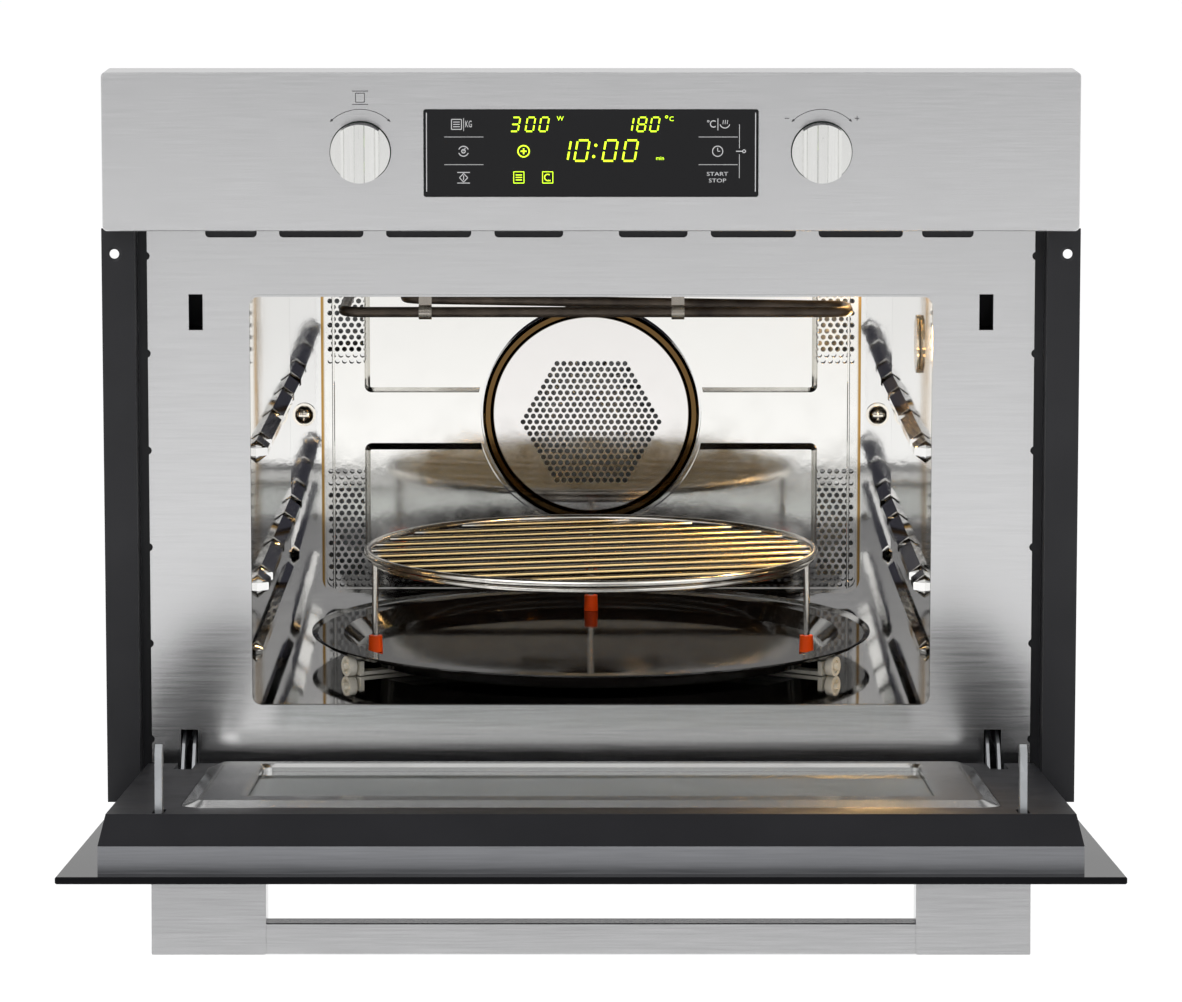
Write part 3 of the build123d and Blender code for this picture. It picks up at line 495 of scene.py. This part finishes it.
def digit(target, char, corner, size, stroke):
    """One leaning seven-segment figure from its lower left corner."""
    x, z = corner
    w, h = size
    gap = stroke * 0.6
    ends = {
        "a": ((gap, h), (w - gap, h)),
        "b": ((w, h - gap), (w, h / 2 + gap)),
        "c": ((w, h / 2 - gap), (w, gap)),
        "d": ((gap, 0), (w - gap, 0)),
        "e": ((0, gap), (0, h / 2 - gap)),
        "f": ((0, h / 2 + gap), (0, h - gap)),
        "g": ((gap, h / 2), (w - gap, h / 2)),
    }
    for name in SEGMENTS[char]:
        a, b = (Vector((x + px + SLANT * pz, z + pz)) for px, pz in ends[name])
        target.line(a, b, stroke)


def lit_figures(lit):
    """Power and temperature in the top row, the time below them."""
    for char, x in (("3", -48.7), ("0", -39.6), ("0", -31.4), ("1", 19.7), ("8", 27.5), ("0", 35.3)):
        digit(lit, char, (x, 13.2), (4.7, 8.4), 0.9)
    for char, x in (("1", -21.4), ("0", -10.2), ("0", 6.8), ("0", 19.0)):
        digit(lit, char, (x, -4.6), (7.2, 12.4), 1.15)
    for dot in ((2.9, 4.8), (1.6, -2.0)):
        lit.disc(dot, 0.95)
    lit.words("W", (-18.5, 20.8), 2.8)
    lit.ring((45.5, 21.9), 0.7, 0.45, 10)
    lit.words("C", (48.5, 20.6), 2.8)
    lit.words("min", (41.6, -3.0), 2.4)


def lit_plus_sign(lit, x, z):
    """A plus in a ring."""
    lit.ring((x, z), 3.4, 0.75)
    lit.line((x - 1.8, z), (x + 1.8, z), 0.8)
    lit.line((x, z - 1.8), (x, z + 1.8), 0.8)


def lit_boxed_signs(lit, list_x, turn_x, z):
    """A list and a turning arrow, each in a box."""
    for x in (list_x, turn_x):
        lit.box((x, z), (3.1, 3.4), 0.42)
    for dz in (-1.5, 0.0, 1.5):
        lit.line((list_x - 1.9, z + dz), (list_x + 1.9, z + dz), 0.55)
    lit.arc((turn_x, z), 1.9, 50, 290, 0.6, 14)
    lit.line((turn_x, z - 1.9), (turn_x + 1.7, z - 1.9), 0.6)


def display_digits():
    """The lit green figures and signs in the middle of the display."""
    lit = Print("display_digits", DISPLAY_Y, display_lit((0.58, 0.92, 0.015), 1.35))
    lit_figures(lit)
    lit_plus_sign(lit, -40.6, MIDDLE_ROW)
    lit_boxed_signs(lit, -43.5, -26.1, -14.6)
    lit.done()


def corner_signs(signs):
    """The list and weight signs at top left, the heat signs at top right."""
    signs.box((-81, TOP_ROW), (3.0, 3.0), 0.5)
    for dz in (-1.4, 0.0, 1.4):
        signs.line((-83, TOP_ROW + dz), (-79, TOP_ROW + dz), 0.5)
    signs.line((-76.7, 13.4), (-76.7, 21.2), 0.35)
    signs.words("KG", (-73.7, TOP_ROW), 4.0, 0.55)
    signs.ring((70.6, 19.3), 0.55, 0.35, 8)
    signs.words("C", (73.3, TOP_ROW), 4.4, 0.9)
    signs.line((76.4, 13.8), (76.4, 21.0), 0.4)
    signs.arc((80.6, 18.2), 3.0, 195, 345, 0.5, 14)
    for x in (79.4, 80.7, 82.0):
        signs.line((x, 17.6), (x + 0.3, 20.0), 0.35)


def turning_sign(signs, x, z):
    """Two arcs round a small ring, with a short hand."""
    for start in (20, 200):
        signs.arc((x, z), 3.0, start, start + 140, 0.55, 16)
    signs.ring((x, z), 1.1, 0.6, 10)
    signs.line((x, z), (x + 1.1, z + 2.0), 0.45)


def lozenge_sign(signs, x, z):
    """An upright bar in a lozenge, between two level bars."""
    for dz in (3.2, -3.2):
        signs.line((x - 3.8, z + dz), (x + 3.8, z + dz), 0.5)
    signs.outline([(x, z + 2.6), (x + 2.5, z), (x, z - 2.6), (x - 2.5, z)], 0.5)
    signs.line((x, z + 1.4), (x, z - 1.4), 0.5)


def clock_sign(signs, x, z):
    """A clock face with two hands."""
    signs.ring((x, z), 3.1, 0.5)
    signs.line((x, z + 2.1), (x, z), 0.45)
    signs.line((x, z), (x + 1.5, z), 0.45)


def key_mark(signs, x, z):
    """A small key between two upright lines."""
    for top in (z + 16.2, z - 1.8):
        signs.line((x, top), (x, top - 14.4), 0.32)
    signs.line((x - 2.0, z), (x + 1.8, z), 0.55)
    signs.ring((x + 2.8, z), 0.9, 0.5, 10)


def display_signs():
    """Grey touch signs beside the lit figures, and the lines between and beside them."""
    grey = painted("print_grey", (0.55, 0.55, 0.56), (0.5, 0.6))
    signs = Print("display_signs", DISPLAY_Y, grey)
    for side in (-1, 1):
        for z in (9.8, -6.9):
            signs.line((side * SIGN_X - 11.8, z), (side * SIGN_X + 11.8, z), 0.32)
        signs.line((side * 99.1, -23.2), (side * 99.1, 24.4), 0.5)
    corner_signs(signs)
    turning_sign(signs, -76.8, MIDDLE_ROW)
    lozenge_sign(signs, -76.8, LOW_ROW)
    clock_sign(signs, 76.3, MIDDLE_ROW)
    signs.words("START", (76.2, -12.6), 2.3, 1.35)
    signs.words("STOP", (76.2, -16.6), 2.3, 1.35)
    key_mark(signs, 89.4, MIDDLE_ROW)
    signs.done()


def turn_arrows(marks, x):
    """An arc over a knob with an arrow head at each end."""
    marks.arc((x, KNOB_Z), TURN_ARC, 90 - TURN_HALF, 90 + TURN_HALF, 0.42, 30)
    for side in (-1, 1):
        turn = math.radians(90 - side * TURN_HALF)
        out = Vector((math.cos(turn), math.sin(turn)))
        along = Vector((side * math.sin(turn), -side * math.cos(turn)))
        tip = Vector((x, KNOB_Z)) + out * TURN_ARC
        head = [tip + along * 1.6, tip + out * 0.9 - along * 0.5, tip - out * 0.9 - along * 0.5]
        marks.patch(head)


def oven_sign(marks, x, z):
    """A square between two level bars."""
    marks.box((x, z), (2.7, 2.7), 0.5)
    for dz in (-4.0, 4.0):
        marks.line((x - 4.8, z + dz), (x + 4.8, z + dz), 0.5)


def minus_and_plus(marks, z):
    """The minus left of the right knob, the plus right of it."""
    minus, plus = KNOB_X - 21.0, KNOB_X + 21.2
    for x in (minus, plus):
        marks.line((x - 1.4, z), (x + 1.4, z), 0.45)
    marks.line((plus, z - 1.4), (plus, z + 1.4), 0.45)


def panel_prints():
    """Turn arrows above the knobs, the oven sign, and the minus and plus."""
    ink = painted("print_dark", (0.05, 0.05, 0.052), (0.45, 0.55))
    marks = Print("panel_prints", PANEL_Y, ink)
    for side in (-1, 1):
        turn_arrows(marks, side * KNOB_X)
    oven_sign(marks, -KNOB_X, 33.4)
    minus_and_plus(marks, 21)
    marks.done()


# ---- stage ----
FLOOR_DROP = 0.35  # room for the handle of the open door, and a soft shadow
FLOOR_SIDE = 40
FLOOR_GLOW = 0.30
LIGHTS_AIM = (0, -0.1, 0.2)
LAMP_WARM = (1.0, 0.62, 0.24)
SEEN_WHITE = 1.05
MIRRORED_WHITE = 0.8
DARK_Y = (-0.75, -0.25)  # a direction's Y where the dark band is full, and where it has gone
DARK_Z = (0.10, 0.26)  # and the same for its Z
HORIZON_DARK = (0.05, 0.05, 0.065)
CAMERA_PLACE = (0.0, -3.6866, 0.67413)
CAMERA_DOWN = 7.7635  # degrees below level
CAMERA_LENS = 171.23
CAMERA_SHIFT = -0.0255


def placed(name, data, place):
    """A new light or camera object at a place."""
    obj = bpy.data.objects.new(name, data)
    obj.location = place
    bpy.context.scene.collection.objects.link(obj)
    return obj


def softbox(name, place, power, size):
    """A large rectangular light aimed at the oven."""
    data = bpy.data.lights.new(name, "AREA")
    data.energy = power
    data.shape = "RECTANGLE"
    data.size, data.size_y = size
    obj = placed(name, data, place)
    obj.rotation_euler = (Vector(LIGHTS_AIM) - obj.location).to_track_quat("-Z", "Y").to_euler()


def oven_lamp():
    """The small warm lamp just inside its lens on the right cavity wall."""
    data = bpy.data.lights.new("lamp", "POINT")
    data.energy = 0.6
    data.color = LAMP_WARM
    data.shadow_soft_size = 0.012
    inner_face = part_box("lamp_lens")[0][0]
    y, z = middle("lamp_lens", "YZ")
    placed("lamp", data, (inner_face - 0.02, y, z))


def studio_world():
    """White surroundings; what the object mirrors is dimmer, and dark around the front horizon."""
    world = bpy.data.worlds.new("studio")
    bpy.context.scene.world = world
    world.use_nodes = True
    tree = world.node_tree
    link = tree.links.new

    def ramp(value, low, high):
        """Runs from 0 to 1 as the value runs from low to high."""
        made = tree.nodes.new("ShaderNodeMapRange")
        made.inputs["From Min"].default_value = low
        made.inputs["From Max"].default_value = high
        link(value, made.inputs["Value"])
        return made.outputs["Result"]

    place = tree.nodes.new("ShaderNodeTexCoord")
    split = tree.nodes.new("ShaderNodeSeparateXYZ")
    link(place.outputs["Generated"], split.inputs["Vector"])
    away = tree.nodes.new("ShaderNodeMath")
    away.operation = "MAXIMUM"
    link(ramp(split.outputs["Y"], *DARK_Y), away.inputs[0])
    link(ramp(split.outputs["Z"], *DARK_Z), away.inputs[1])
    shade = tree.nodes.new("ShaderNodeValToRGB")
    shade.color_ramp.elements[0].color = (*HORIZON_DARK, 1)
    shade.color_ramp.elements[1].color = (*WHITE, 1)
    link(away.outputs[0], shade.inputs["Fac"])

    seen = tree.nodes["Background"]
    seen.inputs["Color"].default_value = (*WHITE, 1)
    seen.inputs["Strength"].default_value = SEEN_WHITE
    mirrored = tree.nodes.new("ShaderNodeBackground")
    mirrored.inputs["Strength"].default_value = MIRRORED_WHITE
    link(shade.outputs["Color"], mirrored.inputs["Color"])
    rays = tree.nodes.new("ShaderNodeLightPath")
    mix = tree.nodes.new("ShaderNodeMixShader")
    link(rays.outputs["Is Camera Ray"], mix.inputs[0])
    link(mirrored.outputs[0], mix.inputs[1])
    link(seen.outputs[0], mix.inputs[2])
    link(mix.outputs[0], tree.nodes["World Output"].inputs["Surface"])


def floor():
    """A pale floor below the oven, a little self-lit so that it stays near white."""
    low = CAD_BOX[0][2]
    bpy.ops.mesh.primitive_plane_add(size=FLOOR_SIDE, location=(0, 0, low - FLOOR_DROP))
    plane = bpy.context.object
    plane.name = "floor"
    pale = Mat("floor", (0.9, 0.9, 0.9), rough=0.8)
    pale.set("Emission Color", (*WHITE, 1))
    pale.set("Emission Strength", FLOOR_GLOW)
    plane.data.materials.append(pale.mat)


def stage():
    floor()
    studio_world()
    softbox("key", (-1.7, -2.9, 2.6), 42, (3.6, 3.0))
    softbox("fill", (2.6, -2.6, 1.6), 18, (3.0, 2.6))
    oven_lamp()


def camera():
    """A long lens from the front, a little above, framed by a small shift."""
    data = bpy.data.cameras.new("camera")
    data.sensor_width = 36.0
    data.lens = CAMERA_LENS
    data.shift_y = CAMERA_SHIFT
    data.clip_end = 50
    obj = placed("camera", data, CAMERA_PLACE)
    obj.rotation_euler = (math.radians(90 - CAMERA_DOWN), 0, 0)
    bpy.context.scene.camera = obj


dress_nodes()
display_digits()
display_signs()
panel_prints()
stage()
camera()
bpy.context.scene.view_settings.view_transform = "Standard"
